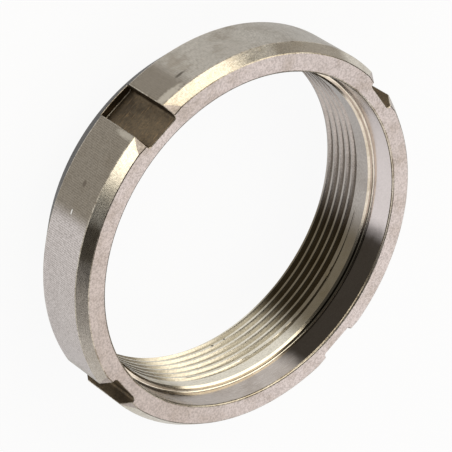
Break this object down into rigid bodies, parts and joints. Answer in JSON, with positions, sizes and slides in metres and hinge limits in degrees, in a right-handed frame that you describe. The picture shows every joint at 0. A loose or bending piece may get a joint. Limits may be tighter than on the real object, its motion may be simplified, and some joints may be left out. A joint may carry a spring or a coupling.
{
  "type": "slotted ring nut",
  "caption": "Slotted round nut of bright turned steel, with a threaded bore, a counterbored top, a conical lower end and closed spanner slots in the rim.",
  "frame": {"origin": "centre of the lower, narrow end face", "axes": "+Z along the thread's axis, towards the counterbored face; +X through the middle of a spanner slot"},
  "size_m": [0.0866, 0.0866, 0.021],
  "materials": {
    "turned_steel": "bright turned steel with light staining, and dark oxide in the slots"
  },
  "bodies": {
    "root": {"slotted_ring_nut": "turned_steel"}
  },
  "joints": []
}
